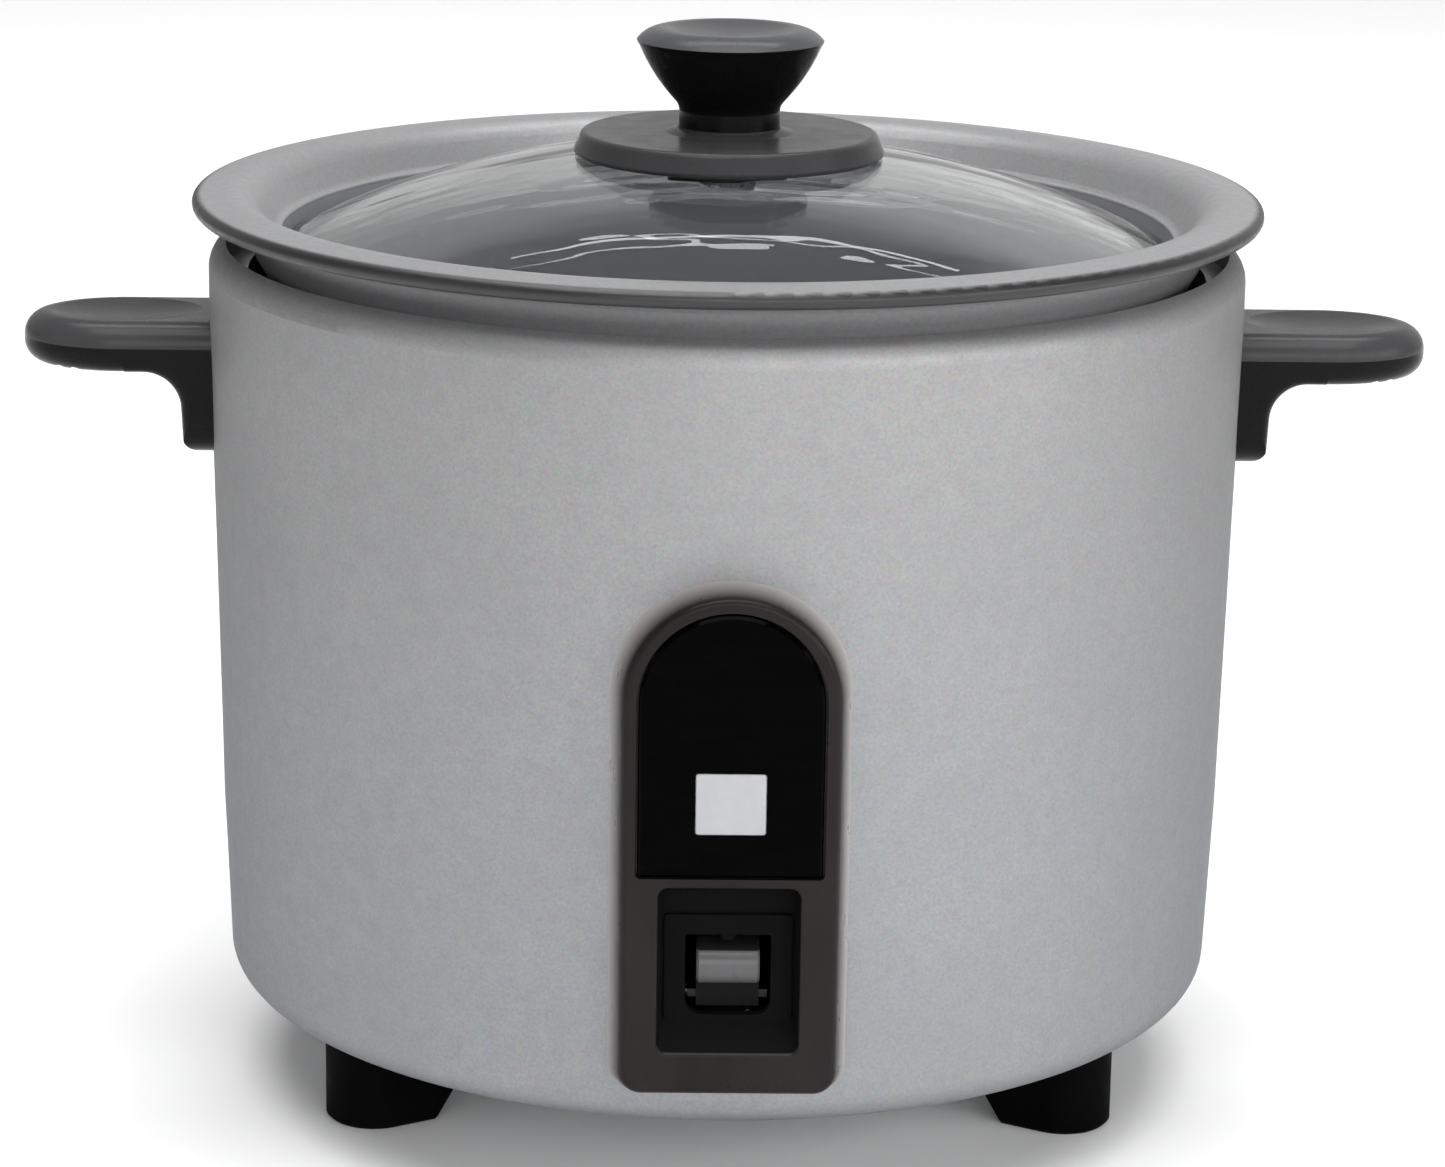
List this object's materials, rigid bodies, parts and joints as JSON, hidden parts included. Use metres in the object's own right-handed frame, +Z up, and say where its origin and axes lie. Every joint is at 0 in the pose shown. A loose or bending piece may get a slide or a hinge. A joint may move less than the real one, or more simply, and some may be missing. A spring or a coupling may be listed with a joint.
{
  "type": "rice cooker",
  "caption": "Small round electric rice cooker: painted steel body with side handles, front key panel, lift-out flanged pot and domed glass lid on a flared knob.",
  "frame": {"origin": "middle of the plane that the three feet stand on, on the body's axis", "axes": "+Z up, -Y towards the front panel, +X towards the handle on the right as seen from the front"},
  "size_m": [0.229, 0.1819, 0.174],
  "materials": {
    "silver_paint": "satin metallic",
    "galvanised_steel": "satin",
    "case_aluminium": "dull",
    "foot_plastic": "matte",
    "screw_steel": "satin",
    "phenolic": "semi gloss",
    "bezel_plastic": "semi gloss",
    "label_black": "high gloss",
    "window_white": "gloss",
    "key_black": "gloss",
    "holder_plastic": "matte",
    "lamp_glass": "clear",
    "switch_plastic": "matte",
    "plunger_red": "matte",
    "brass": "satin",
    "heater_aluminium": "machined",
    "element_steel": "dull",
    "ceramic": "matte",
    "spring_steel": "satin",
    "ferrite": "matte",
    "carrier_steel": "satin",
    "wire_insulation": "matte",
    "pot_coating": "matte anodised",
    "clear_glass": "clear",
    "silicone": "matte"
  },
  "bodies": {
    "base": {"outer_shell": "silver_paint", "bottom_plate": "galvanised_steel", "foot_front_right": "foot_plastic", "foot_front_left": "foot_plastic", "foot_rear": "foot_plastic", "foot_screws": "screw_steel", "bottom_screws": "screw_steel", "handle_right": "phenolic", "handle_left": "phenolic", "handle_screws": "screw_steel", "front_bezel": "bezel_plastic", "label_plate": "label_black", "lamp_window": "window_white", "lamp_holder": "holder_plastic", "indicator_lamp": "lamp_glass", "bezel_screws": "screw_steel", "lever_bracket": "galvanised_steel", "pivot_pin": "screw_steel", "bracket_screws": "screw_steel", "switch_body": "switch_plastic", "switch_terminals": "brass", "switch_bracket": "galvanised_steel", "switch_bolts": "screw_steel", "inner_case": "case_aluminium", "heater_plate": "heater_aluminium", "heating_element": "element_steel", "heater_spacers": "ceramic", "heater_screws": "screw_steel", "sensor_cage": "galvanised_steel", "sensor_spring": "spring_steel", "thermal_fuse": "ceramic", "fuse_clip": "galvanised_steel", "inlet_housing": "bezel_plastic", "inlet_pins": "brass", "inlet_screws": "screw_steel", "lead_neutral": "wire_insulation", "lead_live": "wire_insulation", "lead_fused": "wire_insulation", "lead_heater": "wire_insulation"},
    "pot": {"inner_pot": "pot_coating"},
    "lid": {"lid_glass": "clear_glass", "knob_gasket": "silicone", "knob_base": "phenolic", "lid_knob": "phenolic", "knob_washer": "phenolic", "knob_screw": "screw_steel"},
    "lever": {"lever_arm": "galvanised_steel", "lever_key": "key_black"},
    "plunger": {"switch_plunger": "plunger_red"},
    "magnet_unit": {"magnet": "ferrite", "magnet_carrier": "carrier_steel"},
    "sensor": {"thermostat_cap": "heater_aluminium", "ferrite_disc": "ferrite", "magnet_spring": "spring_steel"}
  },
  "joints": [
    {"name": "pot_lift", "type": "slide", "parent": "base", "child": "pot", "axis": [0, 0, 1], "range_m": [0, 0.13]},
    {"name": "lid_lift", "type": "slide", "parent": "pot", "child": "lid", "axis": [0, 0, 1], "range_m": [0, 0.1]},
    {"name": "lever_press", "type": "hinge", "parent": "base", "child": "lever", "pos_m": [0, -0.038, 0.04], "axis": [1, 0, 0], "range_deg": [0, 5], "stiffness_Nm_per_rad": 0.5, "springref_deg": -5.73},
    {"name": "switch_travel", "type": "slide", "parent": "base", "child": "plunger", "axis": [0, 0, -1], "range_m": [0, 0.0018]},
    {"name": "magnet_lift", "type": "slide", "parent": "base", "child": "magnet_unit", "axis": [0, 0, 1], "range_m": [0, 0.0034], "deforming": ["magnet_spring"]},
    {"name": "sensor_press", "type": "slide", "parent": "base", "child": "sensor", "axis": [0, 0, 1], "range_m": [-0.001, 0], "stiffness_N_per_m": 600, "springref_m": 0.004, "deforming": ["sensor_spring"]}
  ],
  "couplings": [
    {"joint": "magnet_lift", "follows": "lever_press", "m_per_rad": 0.038},
    {"joint": "switch_travel", "follows": "lever_press", "m_per_rad": 0.02}
  ]
}
